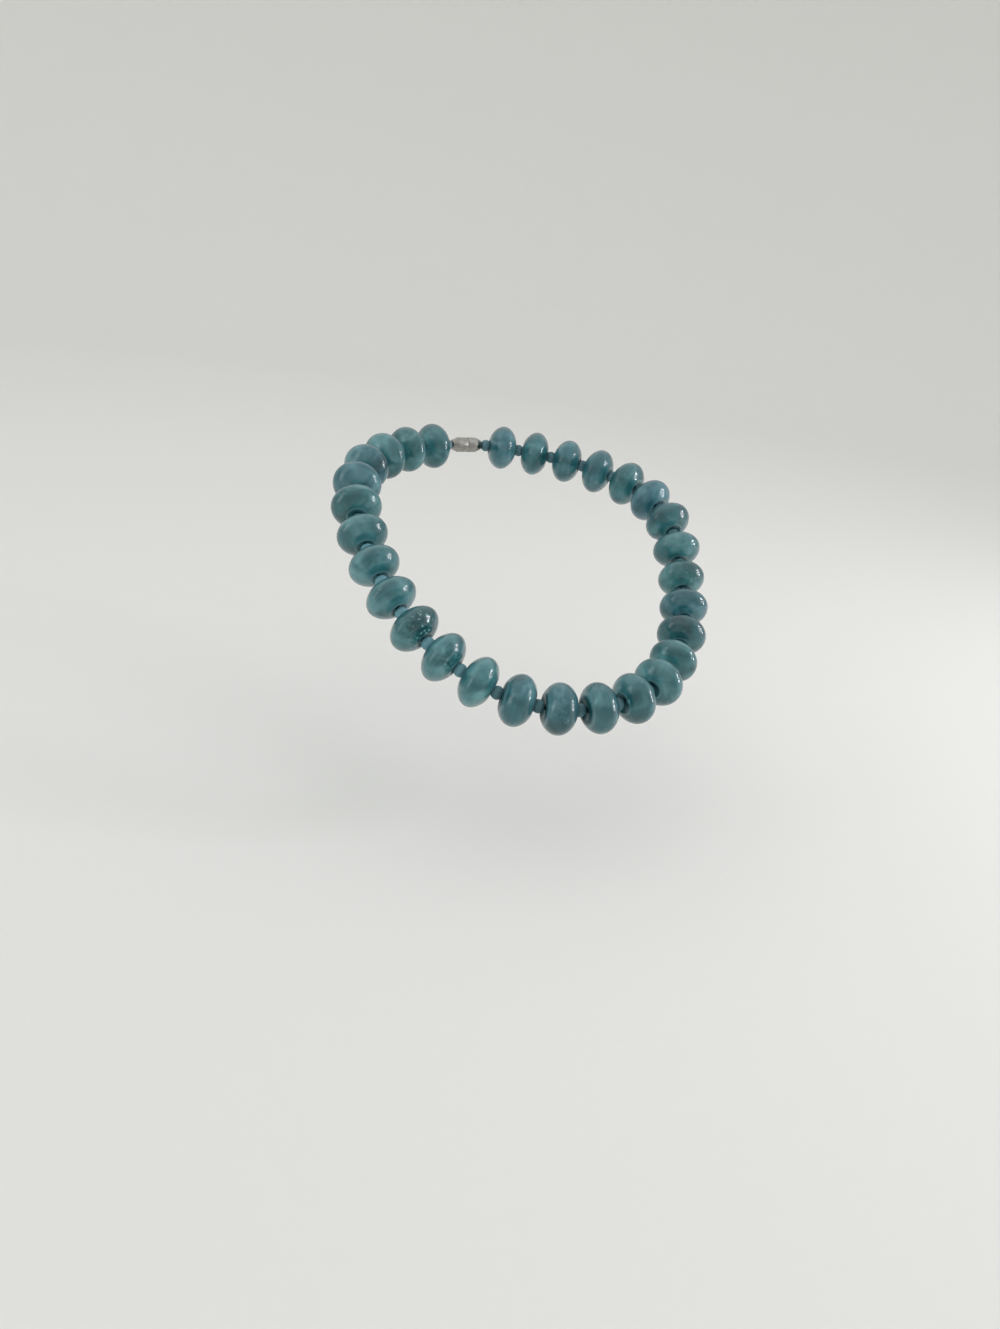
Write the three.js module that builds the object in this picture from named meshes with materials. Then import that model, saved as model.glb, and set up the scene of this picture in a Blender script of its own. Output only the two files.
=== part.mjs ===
// Beaded choker necklace: one strand of puckered glass rondelles, with a small frosted spacer bead
// between each two, on a thread that ends in the two sockets of a plain barrel clasp at the nape.
// Millimetres, +Z up. The wearer faces -Y and has the right hand at -X.
// The origin is on the nape of the neck, at the inner side of the strand.
import * as THREE from "three";

// Rondelle beads
const BEAD_DIAMETER = 18.5;
const BEAD_THICKNESS = 11.3; // over the raised rings round the two mouths of the hole
const RING_DIAMETER = 6.4; // crest of the raised ring
const PUCKER_DEPTH = 0.9; // from the ring's crest down to the mouth of the hole
const HOLE_DIAMETER = 2.2;
const FLANK_POWER = 1.25; // the curve from ring to rim: above 1 the flank is flatter than an ellipse's
const RIM_POWER = 1.18; // the same at the rim
const FLANK_STEPS = 3; // facets from the ring to the rim
const BEAD_SIDES = 14;

// Spacer beads and thread
const SPACER_DIAMETER = 4.9;
const SPACER_LENGTH = 4.4;
const SPACER_END_DIAMETER = 2.0; // flat round the thread
const SPACER_STEPS = 4; // facets from end to end
const THREAD_DIAMETER = 0.9;
const STRAND_SIDES = 10;

// Barrel clasp
const CLASP_DIAMETER = 6.2;
const CLASP_LENGTH = 13.6;
const CLASP_END_DIAMETER = 4.0;
const CLASP_TAPER_LENGTH = 2.6;
const CLASP_GROOVE_WIDTH = 0.8; // where the two halves of the barrel meet
const CLASP_GROOVE_DEPTH = 0.35;
const SOCKET_DIAMETER = 1.9;
const SOCKET_DEPTH = 4.0;
const CLASP_SIDES = 12;

// Between a spacer's end and the mouth it seats on, and between the thread's end and its socket's bottom
const SEAT_GAP = 0.36;

// Between the rim of the beads at the nape and the origin
const NAPE_CLEARANCE = 0.25;

const BEAD_COUNT = 29;

// How the strand lies when worn: points of its centre line, from the middle of the nape over the right
// shoulder, down across the throat and up over the left shoulder.
const ROUTE = [
  [0, 0, 0],
  [-23.5, -5.5, -1],
  [-44, -18.5, -3],
  [-59, -36.5, -7.5],
  [-64.5, -58.5, -16],
  [-62.5, -80, -28.5],
  [-54.5, -100, -42],
  [-41, -117, -53],
  [-21, -129.5, -61.5],
  [3, -135, -63.5],
  [27, -131, -60],
  [45.5, -116.5, -53.5],
  [57.5, -98, -43],
  [63.5, -78, -29.5],
  [65, -58, -15],
  [59, -36.5, -7],
  [44, -18, -3],
  [23.5, -5, -1],
];

// Lengths along the strand, from mouth to mouth of the bores
const boreLength = BEAD_THICKNESS - 2 * PUCKER_DEPTH;
const spacerRoom = SPACER_LENGTH + 2 * SEAT_GAP;
const pitch = boreLength + spacerRoom;
const strandLength = CLASP_LENGTH + spacerRoom + BEAD_COUNT * pitch;

// The closed centre line. The route gives its form, and the strand's real length gives its size.
function closedCurve(points) {
  const curve = new THREE.CatmullRomCurve3(points, true, "centripetal");
  curve.arcLengthDivisions = 80 * points.length;
  return curve;
}
const routePoints = ROUTE.map((point) => new THREE.Vector3(...point));
const fullness = strandLength / closedCurve(routePoints).getLength();
const nape = new THREE.Vector3(0, BEAD_DIAMETER / 2 + NAPE_CLEARANCE, 0);
const centreLine = closedCurve(
  routePoints.map((point) => point.clone().multiplyScalar(fullness).add(nape)),
);

// With an odd number of beads the clasp lies half a bead to the right of the nape's middle.
const claspPlace = (BEAD_COUNT % 2) * (pitch / 2);

const UP = new THREE.Vector3(0, 0, 1);

// The frame of a piece whose own axis is Y, laid along the strand the same way up as its neighbours.
function frameAlong(centre, along) {
  const side = new THREE.Vector3().crossVectors(along, UP).normalize();
  const upward = new THREE.Vector3().crossVectors(side, along);
  return new THREE.Matrix4().makeBasis(side, along, upward).setPosition(centre);
}

// A straight bore of the strand: its frame, its direction and its two mouths.
function boreAt(distance, length) {
  const share = (distance / strandLength) % 1;
  const centre = centreLine.getPointAt(share);
  const along = centreLine.getTangentAt(share);
  return {
    frame: frameAlong(centre, along),
    along,
    entry: centre.clone().addScaledVector(along, -length / 2),
    exit: centre.clone().addScaledVector(along, length / 2),
  };
}

// Both halves of a turned profile from its upper half, which is listed from the middle upwards.
function mirrored(upperHalf) {
  const lowerHalf = upperHalf.map((point) => new THREE.Vector2(point.x, -point.y)).reverse();
  const middleIsShared = upperHalf[0].y === 0;
  return [...lowerHalf, ...upperHalf.slice(middleIsShared ? 1 : 0)];
}

// A rondelle, turned about Y: round rim, flatter flanks, a raised ring and a pucker down to the hole.
function beadGeometry() {
  const ringRadius = RING_DIAMETER / 2;
  const flankWidth = BEAD_DIAMETER / 2 - ringRadius;
  const upperHalf = [];
  for (let step = 0; step <= FLANK_STEPS; step++) {
    const height = Math.sin((step / FLANK_STEPS) * (Math.PI / 2));
    const reach = Math.sqrt(1 - height * height);
    upperHalf.push(
      new THREE.Vector2(
        ringRadius + flankWidth * reach ** FLANK_POWER,
        (BEAD_THICKNESS / 2) * height ** RIM_POWER,
      ),
    );
  }
  upperHalf.push(new THREE.Vector2(HOLE_DIAMETER / 2, boreLength / 2));
  const outline = mirrored(upperHalf);
  return new THREE.LatheGeometry([...outline, outline[0].clone()], BEAD_SIDES);
}

// The outline of a spacer on its thread, from end to end: a ball with flat ends.
function spacerOutline() {
  const firstTurn = Math.asin(SPACER_END_DIAMETER / SPACER_DIAMETER);
  const outline = [new THREE.Vector2(THREAD_DIAMETER / 2, -SPACER_LENGTH / 2)];
  for (let step = 0; step <= SPACER_STEPS; step++) {
    const turn = firstTurn + (step / SPACER_STEPS) * (Math.PI - 2 * firstTurn);
    outline.push(
      new THREE.Vector2(
        (SPACER_DIAMETER / 2) * Math.sin(turn),
        ((-SPACER_LENGTH / 2) * Math.cos(turn)) / Math.cos(firstTurn),
      ),
    );
  }
  outline.push(new THREE.Vector2(THREAD_DIAMETER / 2, SPACER_LENGTH / 2));
  return outline;
}

// The clasp, turned about Y: a barrel with tapered ends, a groove round its middle and a socket in each end.
function claspGeometry() {
  const end = CLASP_LENGTH / 2;
  const waist = CLASP_DIAMETER / 2 - CLASP_GROOVE_DEPTH;
  const upperHalf = [
    new THREE.Vector2(waist, CLASP_GROOVE_WIDTH / 2),
    new THREE.Vector2(CLASP_DIAMETER / 2, CLASP_GROOVE_WIDTH / 2),
    new THREE.Vector2(CLASP_DIAMETER / 2, end - CLASP_TAPER_LENGTH),
    new THREE.Vector2(CLASP_END_DIAMETER / 2, end),
    new THREE.Vector2(SOCKET_DIAMETER / 2, end),
    new THREE.Vector2(SOCKET_DIAMETER / 2, end - SOCKET_DEPTH),
    new THREE.Vector2(0, end - SOCKET_DEPTH),
  ];
  return new THREE.LatheGeometry(mirrored(upperHalf), CLASP_SIDES);
}

// The thread with its spacers: rings along the strand, each with its own frame, radius and height in it.
// They are turned as one long piece about Y, and each ring is then laid in its frame.
function strandGeometry(rings) {
  const radii = rings.map((ring, index) => new THREE.Vector2(ring.radius, index));
  const geometry = new THREE.LatheGeometry(radii, STRAND_SIDES);
  const positions = geometry.getAttribute("position");
  const point = new THREE.Vector3();
  for (let i = 0; i < positions.count; i++) {
    const ring = rings[i % rings.length];
    point.fromBufferAttribute(positions, i).setY(ring.height).applyMatrix4(ring.frame);
    positions.setXYZ(i, point.x, point.y, point.z);
  }
  geometry.computeVertexNormals();
  return geometry;
}

const glass = new THREE.MeshStandardMaterial({ color: "#4f8286", roughness: 0.12, metalness: 0 });
const frostedGlass = new THREE.MeshStandardMaterial({
  color: "#5c8b97",
  roughness: 0.6,
  metalness: 0,
});
const platedBrass = new THREE.MeshStandardMaterial({
  color: "#b9b7b0",
  roughness: 0.3,
  metalness: 1,
});

const necklace = new THREE.Group();

function addPiece(name, geometry, material, frame) {
  const piece = new THREE.Mesh(geometry, material);
  piece.name = name;
  piece.applyMatrix4(frame);
  necklace.add(piece);
}

const claspBore = boreAt(claspPlace, CLASP_LENGTH);
addPiece("clasp", claspGeometry(), platedBrass, claspBore.frame);

const sharedBead = beadGeometry();
const beadBores = [];
for (let index = 0; index < BEAD_COUNT; index++) {
  const distance = claspPlace + CLASP_LENGTH / 2 + spacerRoom + boreLength / 2 + index * pitch;
  const bore = boreAt(distance, boreLength);
  addPiece("bead_" + String(index + 1).padStart(2, "0"), sharedBead, glass, bore.frame);
  beadBores.push(bore);
}

// The thread starts in one socket of the clasp and ends in the other. Between them it runs straight from
// spacer to spacer through the beads, and a spacer lies midway between each two mouths that face each other.
const socketEnd = CLASP_LENGTH / 2 - SOCKET_DEPTH + SEAT_GAP;
const rings = [
  { frame: claspBore.frame, radius: 0, height: socketEnd },
  { frame: claspBore.frame, radius: THREAD_DIAMETER / 2, height: socketEnd },
];
const boresInOrder = [claspBore, ...beadBores, claspBore];
for (let index = 1; index < boresInOrder.length; index++) {
  const from = boresInOrder[index - 1].exit;
  const to = boresInOrder[index].entry;
  const frame = frameAlong(from.clone().lerp(to, 0.5), to.clone().sub(from).normalize());
  for (const point of spacerOutline()) rings.push({ frame, radius: point.x, height: point.y });
}
rings.push(
  { frame: claspBore.frame, radius: THREAD_DIAMETER / 2, height: -socketEnd },
  { frame: claspBore.frame, radius: 0, height: -socketEnd },
);
addPiece("thread_and_spacers", strandGeometry(rings), frostedGlass, new THREE.Matrix4());

export default necklace;
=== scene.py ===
import math
import random
from collections import namedtuple

import bmesh
import bpy
from mathutils import Matrix, Vector, noise


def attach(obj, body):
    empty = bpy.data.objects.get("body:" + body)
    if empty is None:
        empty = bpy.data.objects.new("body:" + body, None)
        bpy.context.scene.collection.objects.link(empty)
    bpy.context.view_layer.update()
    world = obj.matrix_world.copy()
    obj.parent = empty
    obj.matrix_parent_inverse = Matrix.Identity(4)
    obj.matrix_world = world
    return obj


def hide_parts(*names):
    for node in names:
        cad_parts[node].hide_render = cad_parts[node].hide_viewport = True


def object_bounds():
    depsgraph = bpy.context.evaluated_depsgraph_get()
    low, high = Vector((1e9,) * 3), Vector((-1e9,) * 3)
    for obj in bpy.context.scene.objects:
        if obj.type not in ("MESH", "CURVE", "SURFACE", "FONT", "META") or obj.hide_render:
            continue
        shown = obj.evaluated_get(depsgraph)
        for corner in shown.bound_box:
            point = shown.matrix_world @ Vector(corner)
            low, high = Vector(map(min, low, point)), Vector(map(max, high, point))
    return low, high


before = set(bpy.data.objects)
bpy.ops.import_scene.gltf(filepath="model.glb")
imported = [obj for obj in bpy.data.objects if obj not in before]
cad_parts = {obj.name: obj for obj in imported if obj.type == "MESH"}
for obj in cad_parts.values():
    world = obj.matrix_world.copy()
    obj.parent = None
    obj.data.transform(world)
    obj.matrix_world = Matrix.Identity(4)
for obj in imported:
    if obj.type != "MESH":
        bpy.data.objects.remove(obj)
cad_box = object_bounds()

MM = 0.001
UP = Vector((0, 0, 1))
MERGE_DISTANCE = 0.001 * MM
END_RING_TOLERANCE = 0.02  # a share of the distance from a solid's middle to its end rings

# Rondelles: what their solids leave to the looks
PUCKER_DEPTH = 0.9 * MM
HOLE_RADIUS = 1.1 * MM
MOUTH_ROUNDING = 0.25 * MM
FLANK_POWER = 1.4  # above 1 the flanks are flatter than an ellipse's
FLANK_STEPS = 14
PUCKER_STEPS = 7
RONDELLE_SEGMENTS = 56
UNEVENNESS = 0.011  # of the radius: a bead shaped by hand isn't quite round
UNEVEN_SPAN = 9 * MM

# Spacers and thread
SPACER_DIAMETER = 4.9 * MM
SPACER_LENGTH = 4.4 * MM
SPACER_END_DIAMETER = 2.0 * MM
SPACER_STEPS = 12
THREAD_DIAMETER = 0.9 * MM
STRAND_SEGMENTS = 32

# Clasp
CLASP_END_DIAMETER = 4.0 * MM
CLASP_TAPER_LENGTH = 2.6 * MM
CLASP_GROOVE_WIDTH = 0.8 * MM
CLASP_GROOVE_DEPTH = 0.35 * MM
SOCKET_DIAMETER = 1.9 * MM
SOCKET_DEPTH = 4.0 * MM
CLASP_SEGMENTS = 48
CLASP_EDGE_ROUNDING = 0.16 * MM
CLASP_EDGE_ANGLE = math.radians(20)
CLASP_EDGE_SEGMENTS = 3
THREAD_END_GAP = 0.36 * MM

# Camera
CAMERA_PLACE = Vector((-137.24, -405.8, 71.5)) * MM
CAMERA_AZIMUTH = math.radians(-21.11)
CAMERA_ELEVATION = math.radians(21.48)
CAMERA_ROLL = math.radians(8.13)
IMAGE_HEIGHT = 1329
FOCAL_LENGTH_PIXELS = 992.3
SENSOR = 36.0
CLIP_START = 10 * MM

# Stage: a round floor that bends up into a wall
FLOOR_DROP = 40 * MM  # below the lowest bead, because the necklace is held up as a neck holds it
STAGE_RADIUS = 2.1
STAGE_HEIGHT = 1.3
STAGE_BEND = 0.8
STAGE_STEPS = 16
STAGE_SEGMENTS = 96

# Windows
WINDOW_DISTANCE = 0.8
PANE_GAP = 4  # degrees

# A rondelle's glass: its size as a share of the solid's, the width of its raised ring in millimetres, how
# light, how blue and how crackled it is, the way in which it gets lighter, as a direction in the frame
# (mostly painted light, which leaves the lower parts darker, and in some beads a lighter side of the glass
# itself), how dark the painted shade in its dish and mouth is, and how much wider than the ring the glass
# makes that painted shade look, as it shows the dark hole enlarged.
Glass = namedtuple("Glass", "size ring tone blue crackle lighter shade spread", defaults=(0.15, 1.0))
EVEN = (0, 0, 0)
GLASSES = {
    3: Glass(1.00, 6.6, 0.05, 0.2, 0.0, (-0.2, 0, 0.5)),
    4: Glass(0.98, 6.4, 0.00, 0.7, 0.1, (-0.9, 0, 0.2)),
    5: Glass(1.00, 6.6, 0.05, 0.8, 0.0, (-0.1, 0, 0.1)),
    6: Glass(1.015, 6.8, 0.00, 0.1, 0.0, (0.1, 0, 0.35)),
    7: Glass(1.01, 6.6, 0.00, 0.3, 0.0, (-0.3, 0, 0.4)),
    8: Glass(1.01, 6.4, 0.10, 0.3, 0.0, (-0.2, 0, 0.1)),
    9: Glass(1.01, 6.4, 0.20, 0.3, 0.0, EVEN, 0.7),
    10: Glass(1.025, 6.8, -0.40, 0.2, 2.2, (-0.3, 0, -0.1), 0.2),
    11: Glass(1.025, 6.6, 0.00, 0.3, 0.7, (-0.4, 0, 0.1)),
    12: Glass(1.01, 6.8, 0.15, 0.2, 0.0, (0, 0, -0.1)),
    13: Glass(1.005, 8.4, -0.20, 0.5, 0.0, (0, 0, 0.3), 0.8, 1.3),
    14: Glass(0.99, 8.8, -0.25, 0.6, 0.4, (0, 0, 0.6), 0.8, 1.22),
    15: Glass(0.98, 8.0, -0.25, 0.4, 0.0, (0, 0, 0.35), 0.8, 1.35),
    16: Glass(1.00, 7.4, -0.05, 0.3, 0.0, (0, 0, 0.35), 0.65),
    17: Glass(1.005, 6.8, 0.05, 0.2, 0.0, (0, 0, 0.3), 0.65),
    18: Glass(0.97, 6.4, 0.10, 0.1, 0.0, (0, 0, 0.3)),
    19: Glass(1.00, 6.6, -0.45, 0.3, 0.0, (0.1, 0, -0.2), 0.5),
    20: Glass(1.005, 6.6, -0.10, 0.7, 0.0, EVEN, 0.5),
    21: Glass(0.98, 6.6, 0.10, 0.0, 0.4, (0, 0, -0.5), 0.6),
    22: Glass(1.015, 6.6, 0.10, 0.2, 0.0, (0, 0, 0.4), 0.6),
    23: Glass(0.995, 6.6, -0.10, 0.3, 0.0, EVEN, 0.5),
}
CRACKLED_SIDE = Vector((0.1, -0.9, 0.3)).normalized()
CRACKLE_LIMIT = 0.7  # the cosine of the angle from that side at which the crackle ends
RANDOM_SEED = 29


# Places, read from the solids

Turned = namedtuple("Turned", "centre along radius half_length half_bore")


def corners_of(node):
    """The corners of a solid. Its mesh is loose triangles, so a copy of it is merged."""
    copy = bmesh.new()
    copy.from_mesh(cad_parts[node].data)
    bmesh.ops.remove_doubles(copy, verts=copy.verts, dist=MERGE_DISTANCE)
    corners = [vertex.co.copy() for vertex in copy.verts]
    copy.free()
    return corners


def middle_of(points):
    return sum(points, Vector()) / len(points)


def turned_solid(corners, towards, end_rings):
    """Where a turned solid lies, and its size. Its two end rings are the corners nearest to its middle, or
    the farthest from it, as end_rings says: min or max."""
    centre = middle_of(corners)
    spokes = [corner - centre for corner in corners]
    reach = end_rings(spoke.length for spoke in spokes)
    ends = [spoke for spoke in spokes if abs(spoke.length - reach) < END_RING_TOLERANCE * reach]
    to_end = middle_of([end for end in ends if end.dot(towards) > 0])
    along = to_end.normalized()
    heights = [spoke.dot(along) for spoke in spokes]
    radii = [(spoke - height * along).length for spoke, height in zip(spokes, heights)]
    return Turned(centre, along, max(radii), max(heights), to_end.length)


def frame_along(centre, along):
    """The frame of a piece whose own axis is Y, laid along the strand the same way up as its neighbours."""
    side = along.cross(UP).normalized()
    placed = Matrix((side, along, side.cross(along))).transposed().to_4x4()
    placed.translation = centre
    return placed


def read_beads():
    """The beads in the order of the strand."""
    names = sorted(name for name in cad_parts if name.startswith("bead_"))
    corners = [corners_of(name) for name in names]
    middles = [middle_of(points) for points in corners]
    found = {}
    for index, name in enumerate(names):
        before = middles[max(index - 1, 0)]
        after = middles[min(index + 1, len(names) - 1)]
        found[name] = turned_solid(corners[index], after - before, min)
    return found


beads = read_beads()
strand = list(beads.values())
clasp = turned_solid(corners_of("clasp"), strand[0].centre - strand[-1].centre, max)


# Modelling

def spun(profile, segments):
    """A shape turned about Y from a profile of (radius, height) points, closed on itself or on the axis."""
    shape = bmesh.new()
    points = [shape.verts.new((radius, height, 0)) for radius, height in profile]
    lines = [shape.edges.new(pair) for pair in zip(points, points[1:])]
    bmesh.ops.spin(
        shape, geom=points + lines, cent=(0, 0, 0), axis=(0, 1, 0), angle=math.tau, steps=segments,
        use_merge=True,
    )
    bmesh.ops.remove_doubles(shape, verts=shape.verts, dist=MERGE_DISTANCE)
    bmesh.ops.recalc_face_normals(shape, faces=shape.faces)
    return shape


def mirrored(upper):
    """Both halves of a profile from its upper half, which is listed from the middle upwards."""
    lower = [(radius, -height) for radius, height in reversed(upper) if height > 0]
    return lower + upper


def soften(shape, width, angle, segments):
    """Rounds the edges of a shape that are sharper than the angle."""
    sharp = [edge for edge in shape.edges if edge.calc_face_angle(0) > angle]
    bmesh.ops.bevel(
        shape, geom=sharp, offset=width, offset_type="OFFSET", segments=segments, profile=0.5,
        affect="EDGES", clamp_overlap=True, material=-1,
    )


def add_piece(shape, name, materials, node):
    """Makes a finished shape a piece of the necklace that stands for a solid."""
    for face in shape.faces:
        face.smooth = True
    mesh = bpy.data.meshes.new(name)
    shape.to_mesh(mesh)
    shape.free()
    for material in materials:
        mesh.materials.append(material)
    piece = bpy.data.objects.new(name, mesh)
    bpy.context.scene.collection.objects.link(piece)
    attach(piece, "root")
    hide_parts(node)
    return piece


def rondelle_profile(radius, half_thickness, ring_radius, hole_radius):
    """A rondelle in section: round rim, flatter flanks, raised ring, pucker and the wall of the hole."""
    flank = radius - ring_radius
    mouth = half_thickness - PUCKER_DEPTH
    lip_radius = hole_radius + MOUTH_ROUNDING
    upper = []
    for step in range(FLANK_STEPS + 1):
        turn = step / FLANK_STEPS * math.pi / 2
        reach = math.cos(turn) ** FLANK_POWER
        upper.append((ring_radius + flank * reach, half_thickness * math.sin(turn)))
    for step in range(1, PUCKER_STEPS + 1):
        share = step / PUCKER_STEPS
        depth = PUCKER_DEPTH * (1 - math.cos(math.pi * share)) / 2
        upper.append((ring_radius + (lip_radius - ring_radius) * share, half_thickness - depth))
    for turn in (math.pi / 4, math.pi / 2):
        upper.append((
            lip_radius - MOUTH_ROUNDING * math.sin(turn),
            mouth - MOUTH_ROUNDING * (1 - math.cos(turn)),
        ))
    outline = mirrored(upper)
    return outline + outline[:1]


def rondelle(bead, glass, seed):
    """A rondelle in its place. Its corners carry their place in it, in millimetres, and its glass."""
    ring_radius = glass.ring / 2 * MM
    profile = rondelle_profile(bead.radius * glass.size, bead.half_length, ring_radius, HOLE_RADIUS)
    shape = spun(profile, RONDELLE_SEGMENTS)
    place = shape.verts.layers.float_vector.new("bead_place")
    traits = shape.verts.layers.float_vector.new("bead_glass")
    seeded = shape.verts.layers.float.new("bead_seed")
    ring_share = shape.verts.layers.float.new("ring_share")
    mouth_shade = shape.verts.layers.float.new("mouth_shade")
    placed = frame_along(bead.centre, bead.along)
    lighter = Vector(glass.lighter)
    for vertex in shape.verts:
        vertex[place] = vertex.co / MM
        vertex[seeded] = seed
        # The ring share is widened by the spread, so that the painted shade of the dish reaches as far as
        # the glass shows the dark hole; mouth_shade is how dark that painted shade is.
        vertex[ring_share] = math.hypot(vertex.co.x, vertex.co.z) / (ring_radius * glass.spread)
        vertex[mouth_shade] = glass.shade
        uneven = noise.noise_vector(vertex.co / UNEVEN_SPAN + Vector((seed, 0, 0)))
        vertex.co.x *= 1 + UNEVENNESS * uneven.x
        vertex.co.y *= 1 + UNEVENNESS * uneven.y
        vertex.co.z *= 1 + UNEVENNESS * uneven.z
        vertex.co = placed @ vertex.co
        outwards = (vertex.co - bead.centre) / bead.radius
        towards_crackle = outwards.normalized().dot(CRACKLED_SIDE)
        crackle = glass.crackle * max(0, towards_crackle - CRACKLE_LIMIT) / (1 - CRACKLE_LIMIT)
        # The tone leans lighter in the given direction: mostly painted light, darker on the lower parts, and
        # in some beads a lighter side of the glass itself.
        vertex[traits] = (glass.tone + outwards.dot(lighter), glass.blue, crackle)
    return shape


def spacer_outline():
    """A spacer on the thread, from end to end: a ball with flat ends."""
    first_turn = math.asin(SPACER_END_DIAMETER / SPACER_DIAMETER)
    outline = [(THREAD_DIAMETER / 2, -SPACER_LENGTH / 2)]
    for step in range(SPACER_STEPS + 1):
        turn = first_turn + step / SPACER_STEPS * (math.pi - 2 * first_turn)
        height = -SPACER_LENGTH / 2 * math.cos(turn) / math.cos(first_turn)
        outline.append((SPACER_DIAMETER / 2 * math.sin(turn), height))
    outline.append((THREAD_DIAMETER / 2, SPACER_LENGTH / 2))
    return outline


def spacers_on_thread():
    """The thread with its spacers, turned as one long piece whose rings are then laid in their frames."""
    clasp_frame = frame_along(clasp.centre, clasp.along)
    thread_end = clasp.half_length - SOCKET_DEPTH + THREAD_END_GAP
    rings = [(clasp_frame, 0, thread_end), (clasp_frame, THREAD_DIAMETER / 2, thread_end)]
    clasp_bore = clasp._replace(half_bore=clasp.half_length)
    in_order = [clasp_bore, *strand, clasp_bore]
    for before, after in zip(in_order, in_order[1:]):
        start = before.centre + before.along * before.half_bore
        end = after.centre - after.along * after.half_bore
        placed = frame_along((start + end) / 2, (end - start).normalized())
        rings += [(placed, radius, height) for radius, height in spacer_outline()]
    rings += [(clasp_frame, THREAD_DIAMETER / 2, -thread_end), (clasp_frame, 0, -thread_end)]
    shape = spun([(radius, index) for index, (_, radius, _) in enumerate(rings)], STRAND_SEGMENTS)
    ring_of = {vertex: round(vertex.co.y) for vertex in shape.verts}
    for face in shape.faces:
        on_thread = all(rings[ring_of[vertex]][1] <= THREAD_DIAMETER / 2 for vertex in face.verts)
        face.material_index = 1 if on_thread else 0
    for vertex, index in ring_of.items():
        placed, _, height = rings[index]
        vertex.co = placed @ Vector((vertex.co.x, height, vertex.co.z))
    bmesh.ops.recalc_face_normals(shape, faces=shape.faces)
    return shape


def barrel_clasp():
    """A barrel with tapered ends, a groove where its halves meet and a socket in each end."""
    end = clasp.half_length
    waist = clasp.radius - CLASP_GROOVE_DEPTH
    upper = [
        (waist, CLASP_GROOVE_WIDTH / 2),
        (clasp.radius, CLASP_GROOVE_WIDTH / 2),
        (clasp.radius, end - CLASP_TAPER_LENGTH),
        (CLASP_END_DIAMETER / 2, end),
        (SOCKET_DIAMETER / 2, end),
        (SOCKET_DIAMETER / 2, end - SOCKET_DEPTH),
        (0, end - SOCKET_DEPTH),
    ]
    shape = spun(mirrored(upper), CLASP_SEGMENTS)
    soften(shape, CLASP_EDGE_ROUNDING, CLASP_EDGE_ANGLE, CLASP_EDGE_SEGMENTS)
    bmesh.ops.transform(shape, matrix=frame_along(clasp.centre, clasp.along), verts=shape.verts)
    return shape


# Materials

def linear(hex_colour):
    """An sRGB hex colour as linear red, green, blue and alpha."""
    shares = [int(hex_colour[place : place + 2], 16) / 255 for place in (1, 3, 5)]
    return (*[s / 12.92 if s <= 0.04045 else ((s + 0.055) / 1.055) ** 2.4 for s in shares], 1)


def add(tree, kind, inputs, stops=(), **settings):
    """Adds a node. Its inputs are values or other nodes' outputs. Stops are a ramp's places and colours."""
    made = tree.nodes.new("ShaderNode" + kind)
    for name, value in settings.items():
        setattr(made, name, value)
    for name, value in inputs.items():
        if isinstance(value, bpy.types.NodeSocket):
            tree.links.new(value, made.inputs[name])
        else:
            made.inputs[name].default_value = value
    for index, (place, colour) in enumerate(stops):
        stop = made.color_ramp.elements[index] if index < 2 else made.color_ramp.elements.new(place)
        stop.position = place
        stop.color = linear(colour)
    return made


# The sockets of a Mix node that mixes colours
FACTOR, FIRST, SECOND, MIXED = 0, 6, 7, 2


def new_material(name):
    material = bpy.data.materials.new(name)
    material.use_nodes = True
    tree = material.node_tree
    tree.nodes.clear()
    shader = add(tree, "BsdfPrincipled", {})
    add(tree, "OutputMaterial", {"Surface": shader.outputs["BSDF"]})
    return material, tree, shader


def connect(tree, shader, sockets):
    """Sets or links sockets of a shader that was made before."""
    for name, value in sockets.items():
        if isinstance(value, bpy.types.NodeSocket):
            tree.links.new(value, shader.inputs[name])
        else:
            shader.inputs[name].default_value = value


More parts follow.
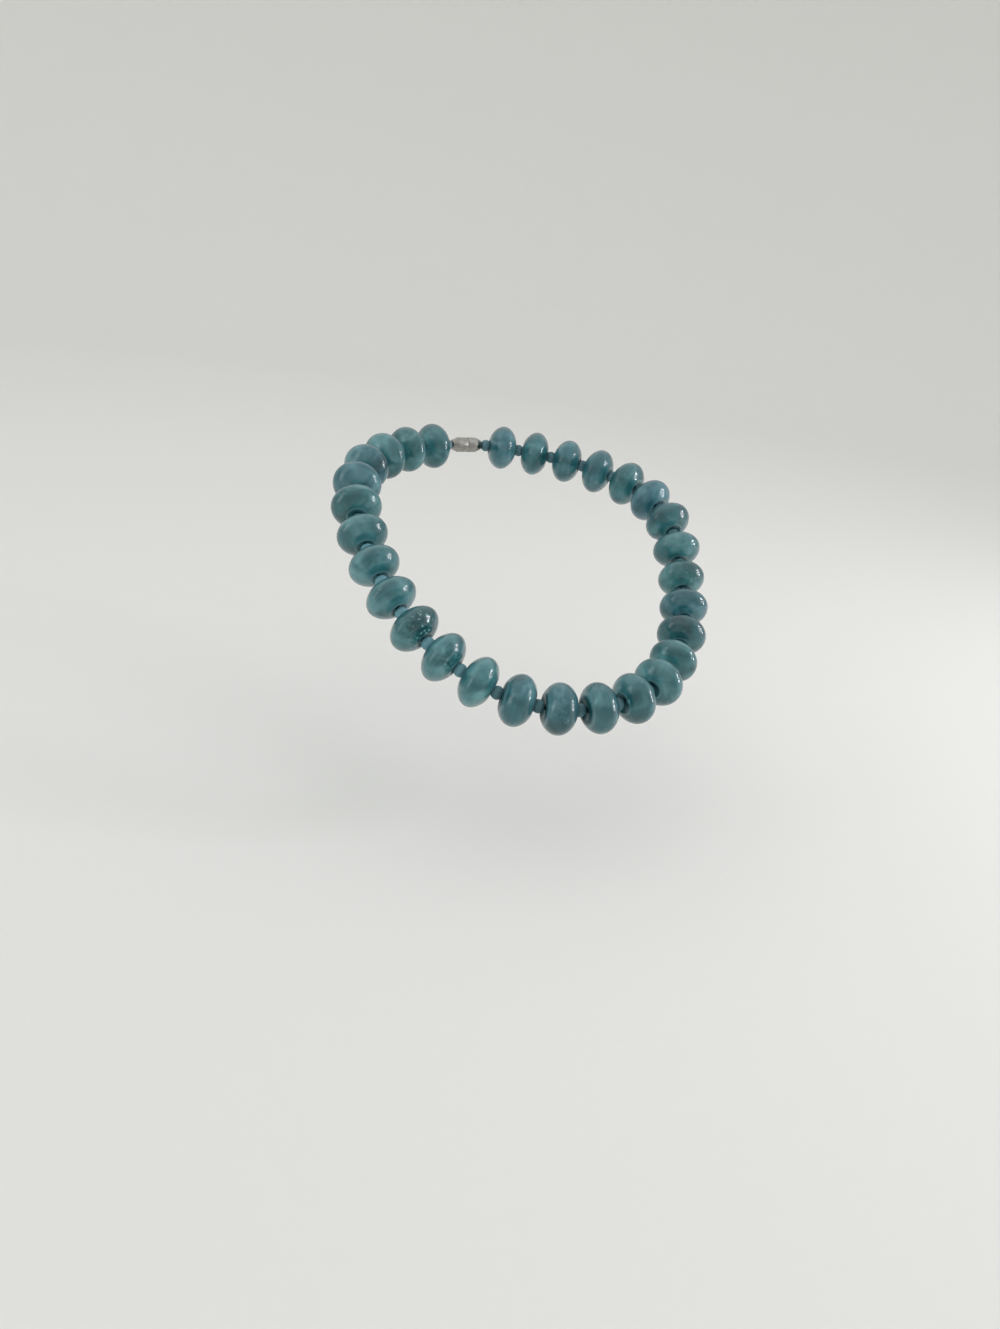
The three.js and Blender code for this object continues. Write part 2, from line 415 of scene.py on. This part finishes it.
def lampwork_glass():
    """Soda-lime glass rod, wound round a mandrel in a flame and left to round itself: a hard, wet gloss over
    milky teal glass. Its trails run round the hole, and it is crackled where it was chilled."""
    material, tree, shader = new_material("lampwork_glass")
    place = add(tree, "Attribute", {}, attribute_name="bead_place").outputs["Vector"]
    seed = add(tree, "Attribute", {}, attribute_name="bead_seed").outputs["Fac"]
    ring_share = add(tree, "Attribute", {}, attribute_name="ring_share").outputs["Fac"]
    mouth_shade = add(tree, "Attribute", {}, attribute_name="mouth_shade").outputs["Fac"]
    glass = add(tree, "Attribute", {}, attribute_name="bead_glass").outputs["Vector"]
    tone, blue, crackle = add(tree, "SeparateXYZ", {"Vector": glass}).outputs

    cloud_size = 8  # millimetres
    clouds = add(
        tree, "TexNoise", {
            "Vector": place, "W": seed, "Scale": 1 / cloud_size, "Detail": 2, "Roughness": 0.45,
            "Distortion": 0.8,
        },
        noise_dimensions="4D",
    ).outputs["Fac"]
    trail_length, trail_width = 16, 1.2  # millimetres, round the hole and across the trails
    trail_scale = (1 / trail_length, 1 / trail_width, 1 / trail_length)
    trail_place = add(tree, "Mapping", {"Vector": place, "Scale": trail_scale}).outputs["Vector"]
    trails = add(
        tree, "TexNoise",
        {"Vector": trail_place, "W": seed, "Scale": 1, "Detail": 3, "Roughness": 0.6, "Distortion": 0.4},
        noise_dimensions="4D",
    ).outputs["Fac"]
    trail_strength, tone_strength = 0.25, 0.32
    swirls = add(
        tree, "Math", {0: trails, 1: trail_strength, 2: clouds}, operation="MULTIPLY_ADD"
    ).outputs["Value"]
    lightness = add(
        tree, "Math", {0: tone, 1: tone_strength, 2: swirls}, operation="MULTIPLY_ADD"
    ).outputs["Value"]
    green_body = add(
        tree, "ValToRGB", {"Fac": lightness}, stops=[(0.3, "#0c5056"), (1.0, "#86c8cb"), (0.62, "#347f84")]
    ).outputs["Color"]
    blue_body = add(
        tree, "ValToRGB", {"Fac": lightness}, stops=[(0.3, "#134f5c"), (1.0, "#8dc5d1"), (0.62, "#387b8a")]
    ).outputs["Color"]
    body = add(
        tree, "Mix", {FACTOR: blue, FIRST: green_body, SECOND: blue_body}, data_type="RGBA"
    ).outputs[MIXED]

    # The raised ring carries a painted highlight along its crest, the light lip, round a dish and a hole
    # mouth darkened with painted shade.
    ridge_highlight_middle, ridge_highlight_reach = 1.12, 0.18  # shares of the ring's radius
    past_middle = add(tree, "Math", {0: ring_share, 1: ridge_highlight_middle}, operation="SUBTRACT").outputs["Value"]
    from_middle = add(tree, "Math", {0: past_middle}, operation="ABSOLUTE").outputs["Value"]
    painted_ridge_highlight = add(
        tree, "MapRange", {"Value": from_middle, "From Max": ridge_highlight_reach, "To Min": 0.6, "To Max": 0},
        interpolation_type="SMOOTHSTEP",
    ).outputs["Result"]
    ridge_highlighted = add(
        tree, "Mix", {FACTOR: painted_ridge_highlight, FIRST: body, SECOND: linear("#8db4bb")}, data_type="RGBA"
    ).outputs[MIXED]
    # Painted shade: the dish and the mouth of the hole are darkened as much as mouth_shade says, and the
    # dish's painted shade also stands for the dark hole that the glass shows enlarged.
    painted_dish_shade = add(
        tree, "MapRange",
        {"Value": ring_share, "From Min": 0.88, "From Max": 1.04, "To Min": mouth_shade, "To Max": 0},
        interpolation_type="SMOOTHSTEP",
    ).outputs["Result"]
    dish_shaded = add(
        tree, "Mix", {FACTOR: painted_dish_shade, FIRST: ridge_highlighted, SECOND: linear("#113b41")}, data_type="RGBA"
    ).outputs[MIXED]
    mouth = add(
        tree, "MapRange",
        {"Value": ring_share, "From Min": 0.35, "From Max": 0.7, "To Min": mouth_shade, "To Max": 0},
    ).outputs["Result"]
    mouth_shaded = add(
        tree, "Mix", {FACTOR: mouth, FIRST: dish_shaded, SECOND: linear("#1c4a50")}, data_type="RGBA"
    ).outputs[MIXED]

    # The facets of cracks inside the glass are dark or catch the light, each as it happens to lie: the dark
    # chips are painted shade and the bright chips are painted glints.
    facet_size = 1.1  # millimetres
    bent_place = add(
        tree, "TexNoise", {"Vector": place, "Scale": 1 / facet_size, "Detail": 1}
    ).outputs["Color"]
    facet_place = add(
        tree, "VectorMath", {0: bent_place, 1: (facet_size,) * 3, 2: place}, operation="MULTIPLY_ADD"
    ).outputs["Vector"]
    facets = add(
        tree, "TexVoronoi", {"Vector": facet_place, "W": seed, "Scale": 1 / facet_size},
        voronoi_dimensions="4D",
    ).outputs
    chips = add(tree, "SeparateColor", {"Color": facets["Color"]}).outputs["Red"]
    shaded_chips = add(
        tree, "MapRange", {"Value": chips, "From Min": 0.45, "From Max": 0.2}
    ).outputs["Result"]
    painted_chip_shade = add(tree, "Math", {0: shaded_chips, 1: crackle}, operation="MULTIPLY").outputs["Value"]
    chip_shaded = add(
        tree, "Mix", {FACTOR: painted_chip_shade, FIRST: mouth_shaded, SECOND: linear("#0d4d54")}, data_type="RGBA"
    ).outputs[MIXED]
    painted_glints = add(
        tree, "MapRange",
        {"Value": facets["Distance"], "From Min": 0.2, "From Max": 0.55, "To Min": 1, "To Max": 0},
    ).outputs["Result"]
    painted_glint_chips = add(
        tree, "MapRange", {"Value": chips, "From Min": 0.55, "From Max": 0.75, "To Max": painted_glints}
    ).outputs["Result"]
    painted_glint_share = add(tree, "Math", {0: painted_glint_chips, 1: crackle}, operation="MULTIPLY").outputs["Value"]
    crackled = add(
        tree, "Mix", {FACTOR: painted_glint_share, FIRST: chip_shaded, SECOND: linear("#a4dad6")}, data_type="RGBA"
    ).outputs[MIXED]

    # Towards the limb a painted reflection of the pale room makes the glass greyer, and painted shade makes
    # its very edge dark.
    facing = add(tree, "LayerWeight", {"Blend": 0.5}).outputs["Facing"]
    painted_limb_reflection = add(
        tree, "MapRange", {"Value": facing, "From Min": 0.35, "From Max": 0.7, "To Max": 0.35},
        interpolation_type="SMOOTHSTEP",
    ).outputs["Result"]
    limb_reflected = add(
        tree, "Mix", {FACTOR: painted_limb_reflection, FIRST: crackled, SECOND: linear("#4a7380")}, data_type="RGBA"
    ).outputs[MIXED]
    edge = add(
        tree, "MapRange", {"Value": facing, "From Min": 0.62, "From Max": 0.88, "To Max": 0.8}
    ).outputs["Result"]
    colour = add(
        tree, "Mix", {FACTOR: edge, FIRST: limb_reflected, SECOND: linear("#234a53")}, data_type="RGBA"
    ).outputs[MIXED]

    ripple_span = 2.6  # millimetres, between the faint waves that a flame leaves
    ripples = add(tree, "TexNoise", {"Vector": place, "Scale": 1 / ripple_span, "Detail": 1}).outputs["Fac"]
    surface = add(
        tree, "Bump", {"Strength": 0.5, "Distance": 0.1 * MM, "Height": ripples}
    ).outputs["Normal"]
    # The mandrel's clay coating leaves the pucker and the mouth of the hole dull.
    gloss = add(
        tree, "MapRange",
        {"Value": ring_share, "From Min": 0.75, "From Max": 1.05, "To Min": 0, "To Max": 0.8},
        interpolation_type="SMOOTHSTEP",
    ).outputs["Result"]
    connect(tree, shader, {
        "Base Color": colour, "Roughness": 0.3, "IOR": 1.52, "Specular IOR Level": 0.1,
        "Transmission Weight": 0.49, "Subsurface Weight": 0.4,
        "Subsurface Radius": (0.6, 1.0, 1.0), "Subsurface Scale": 1.2 * MM,
        "Coat Weight": gloss, "Coat Roughness": 0.02, "Coat IOR": 1.52,
        "Normal": surface, "Coat Normal": surface,
    })
    return material


def frosted_glass():
    """Pressed glass with an acid-etched skin: even, matt and slightly milky, with a very fine grain."""
    material, tree, shader = new_material("acid_frosted_glass")
    place = add(tree, "TexCoord", {}).outputs["Object"]
    cloud_size = 3 * MM
    clouds = add(tree, "TexNoise", {"Vector": place, "Scale": 1 / cloud_size, "Detail": 2}).outputs["Fac"]
    even = add(
        tree, "ValToRGB", {"Fac": clouds}, stops=[(0.3, "#40676f"), (0.7, "#638c96")]
    ).outputs["Color"]
    # The spacers on the wearer's right are painted paler as painted light, and the ones in front stay
    # darker, as if in the beads' shade.
    painted_light_from, painted_light_full_from = -25 * MM, -45 * MM
    across = add(tree, "SeparateXYZ", {"Vector": place}).outputs["X"]
    painted_light_share = add(
        tree, "MapRange", {"Value": across, "From Min": painted_light_from, "From Max": painted_light_full_from, "To Max": 0.7}
    ).outputs["Result"]
    colour = add(
        tree, "Mix", {FACTOR: painted_light_share, FIRST: even, SECOND: linear("#7bb0bd")}, data_type="RGBA"
    ).outputs[MIXED]
    # The real grain is too fine to show, so it is drawn coarser.
    grain_size = 0.2 * MM
    grain = add(tree, "TexNoise", {"Vector": place, "Scale": 1 / grain_size, "Detail": 1}).outputs["Fac"]
    surface = add(
        tree, "Bump", {"Strength": 0.25, "Distance": 0.05 * MM, "Height": grain}
    ).outputs["Normal"]
    connect(tree, shader, {
        "Base Color": colour, "Roughness": 0.62, "IOR": 1.5, "Subsurface Weight": 0.2,
        "Subsurface Radius": (1, 1, 1), "Subsurface Scale": 0.8 * MM, "Normal": surface,
    })
    return material


def beading_thread():
    """Twisted and waxed polyester beading thread: a dull grey-green line with the slant of its plies."""
    material, tree, shader = new_material("waxed_polyester_thread")
    place = add(tree, "TexCoord", {}).outputs["Object"]
    ply_span = 2 * MM
    plies = add(
        tree, "TexWave", {"Vector": place, "Scale": 1 / ply_span, "Distortion": 1.5},
        bands_direction="DIAGONAL",
    ).outputs["Fac"]
    colour = add(
        tree, "ValToRGB", {"Fac": plies}, stops=[(0.0, "#2c4a4c"), (1.0, "#4d6f70")]
    ).outputs["Color"]
    connect(tree, shader, {"Base Color": colour, "Roughness": 0.7})
    return material


def plated_brass():
    """Turned brass with a satin rhodium plate: a cool grey metal, with the fine rings of its turning."""
    material, tree, shader = new_material("satin_rhodium_plate")
    place = add(tree, "TexCoord", {}).outputs["Object"]
    tarnish_size = 2.5 * MM
    tarnish = add(
        tree, "TexNoise", {"Vector": place, "Scale": 1 / tarnish_size, "Detail": 3}
    ).outputs["Fac"]
    colour = add(
        tree, "ValToRGB", {"Fac": tarnish}, stops=[(0.35, "#8f8d88"), (0.65, "#a9a7a2")]
    ).outputs["Color"]
    roughness = add(
        tree, "MapRange", {"Value": tarnish, "To Min": 0.34, "To Max": 0.26}
    ).outputs["Result"]
    # The clasp lies along X. A wave of this span repeats at about a third of it, so the marks of the turning
    # lie 0.4 mm apart.
    wave_span = 1.25 * MM
    rings = add(
        tree, "TexWave", {"Vector": place, "Scale": 1 / wave_span, "Distortion": 0.4}
    ).outputs["Fac"]
    surface = add(
        tree, "Bump", {"Strength": 0.15, "Distance": 0.02 * MM, "Height": rings}
    ).outputs["Normal"]
    connect(tree, shader, {
        "Base Color": colour, "Metallic": 1.0, "Roughness": roughness, "Normal": surface,
    })
    return material


def studio_paper():
    """Matt pale background paper: even and without gloss."""
    material, tree, shader = new_material("matt_background_paper")
    connect(tree, shader, {"Base Color": linear("#e3e2df"), "Roughness": 0.95, "Specular IOR Level": 0.1})
    return material


# The necklace

draws = random.Random(RANDOM_SEED)
noise.seed_set(RANDOM_SEED)
glass_material = lampwork_glass()
for number, (name, bead) in enumerate(beads.items(), start=1):
    drawn = Glass(
        size=draws.uniform(0.98, 1.015), ring=draws.uniform(6.4, 7.2), tone=draws.uniform(-0.15, 0.15),
        blue=draws.random(), crackle=0.0, lighter=EVEN,
    )
    seed = draws.uniform(0, 100)
    shape = rondelle(bead, GLASSES.get(number, drawn), seed)
    add_piece(shape, f"rondelle_{number:02}", [glass_material], name)

strand_materials = [frosted_glass(), beading_thread()]
add_piece(spacers_on_thread(), "spacers_on_thread", strand_materials, "thread_and_spacers")
add_piece(barrel_clasp(), "barrel_clasp", [plated_brass()], "clasp")


# Camera

def camera_frame():
    """The camera's own frame: X to the right of the picture, Y up in it and Z back towards the viewer."""
    back = Vector((
        math.sin(CAMERA_AZIMUTH) * math.cos(CAMERA_ELEVATION),
        -math.cos(CAMERA_AZIMUTH) * math.cos(CAMERA_ELEVATION),
        math.sin(CAMERA_ELEVATION),
    ))
    right = UP.cross(back).normalized()
    level = Matrix((right, back.cross(right), back)).transposed().to_4x4()
    return Matrix.Translation(CAMERA_PLACE) @ level @ Matrix.Rotation(CAMERA_ROLL, 4, "Z")


camera_data = bpy.data.cameras.new("camera")
camera_data.sensor_width = SENSOR
camera_data.lens = SENSOR * FOCAL_LENGTH_PIXELS / IMAGE_HEIGHT
camera_data.clip_start = CLIP_START
camera = bpy.data.objects.new("camera", camera_data)
camera.matrix_world = camera_frame()
bpy.context.scene.collection.objects.link(camera)
bpy.context.scene.camera = camera


# Stage and light

def stage_floor():
    """A round pale floor that bends up into a wall, so that it is the same from every side."""
    floor_height = cad_box[0].z - FLOOR_DROP
    profile = [(0, floor_height), (STAGE_RADIUS - STAGE_BEND, floor_height)]
    for step in range(1, STAGE_STEPS + 1):
        turn = step / STAGE_STEPS * math.pi / 2
        profile.append((
            STAGE_RADIUS - STAGE_BEND + STAGE_BEND * math.sin(turn),
            floor_height + STAGE_BEND * (1 - math.cos(turn)),
        ))
    profile.append((STAGE_RADIUS, STAGE_HEIGHT))
    shape = spun(profile, STAGE_SEGMENTS)
    bmesh.ops.rotate(shape, matrix=Matrix.Rotation(math.pi / 2, 3, "X"), verts=shape.verts)
    bmesh.ops.reverse_faces(shape, faces=shape.faces)
    for face in shape.faces:
        face.smooth = True
    mesh = bpy.data.meshes.new("floor")
    shape.to_mesh(mesh)
    shape.free()
    mesh.materials.append(studio_paper())
    floor = bpy.data.objects.new("floor", mesh)
    bpy.context.scene.collection.objects.link(floor)


def softbox(name, direction, distance, width, height, radiance, colour):
    """A soft lamp that lies in a direction of the camera's frame as seen from the necklace, and faces it."""
    target = (cad_box[0] + cad_box[1]) / 2
    away = (camera.matrix_world.to_3x3() @ Vector(direction)).normalized()
    lamp = bpy.data.lights.new(name, "AREA")
    lamp.shape = "RECTANGLE"
    lamp.size = width
    lamp.size_y = height
    lamp.energy = radiance * math.pi * width * height
    lamp.color = linear(colour)[:3]
    facing = away.to_track_quat("Z", "Y").to_matrix().to_4x4()
    holder = bpy.data.objects.new(name, lamp)
    holder.matrix_world = Matrix.Translation(target + away * distance) @ facing
    bpy.context.scene.collection.objects.link(holder)


def window(name, across, lowest, pane_width, pane_heights, radiance, colour):
    """A column of panes, one above the other. Across and lowest are the turns to its foot from the camera's
    own direction, and the panes are measured in degrees too, as the necklace sees them."""
    bottom = lowest
    for pane, height in enumerate(pane_heights):
        turned, raised = math.radians(across), math.radians(bottom + height / 2)
        direction = (
            math.sin(turned) * math.cos(raised), math.sin(raised), math.cos(turned) * math.cos(raised)
        )
        size = [WINDOW_DISTANCE * math.radians(degrees) for degrees in (pane_width, height)]
        softbox(f"{name}_{pane}", direction, WINDOW_DISTANCE, *size, radiance, colour)
        bottom += height + PANE_GAP


stage_floor()
window(
    "right_window_near", across=73, lowest=-6, pane_width=1.5, pane_heights=(4, 7),
    radiance=22, colour="#fbf7fa",
)
window(
    "right_window_middle", across=80, lowest=-9, pane_width=2.3, pane_heights=(6, 4, 10),
    radiance=34, colour="#fbf7fa",
)
window(
    "right_window_far", across=88, lowest=-9, pane_width=2.7, pane_heights=(8, 4, 10),
    radiance=34, colour="#f6f4fb",
)
window(
    "left_window", across=-60, lowest=-22, pane_width=18, pane_heights=(56,),
    radiance=1.5, colour="#e9f3f6",
)
softbox(
    "overhead", direction=(0.0, 0.95, 0.35), distance=0.9, width=1.0, height=0.8,
    radiance=0.1, colour="#ffffff",
)

world = bpy.data.worlds.new("room")
world.use_nodes = True
room_light = world.node_tree.nodes["Background"].inputs
room_light["Color"].default_value = linear("#eef0f0")
room_light["Strength"].default_value = 1.1
bpy.context.scene.world = world
bpy.context.scene.view_settings.view_transform = "Standard"
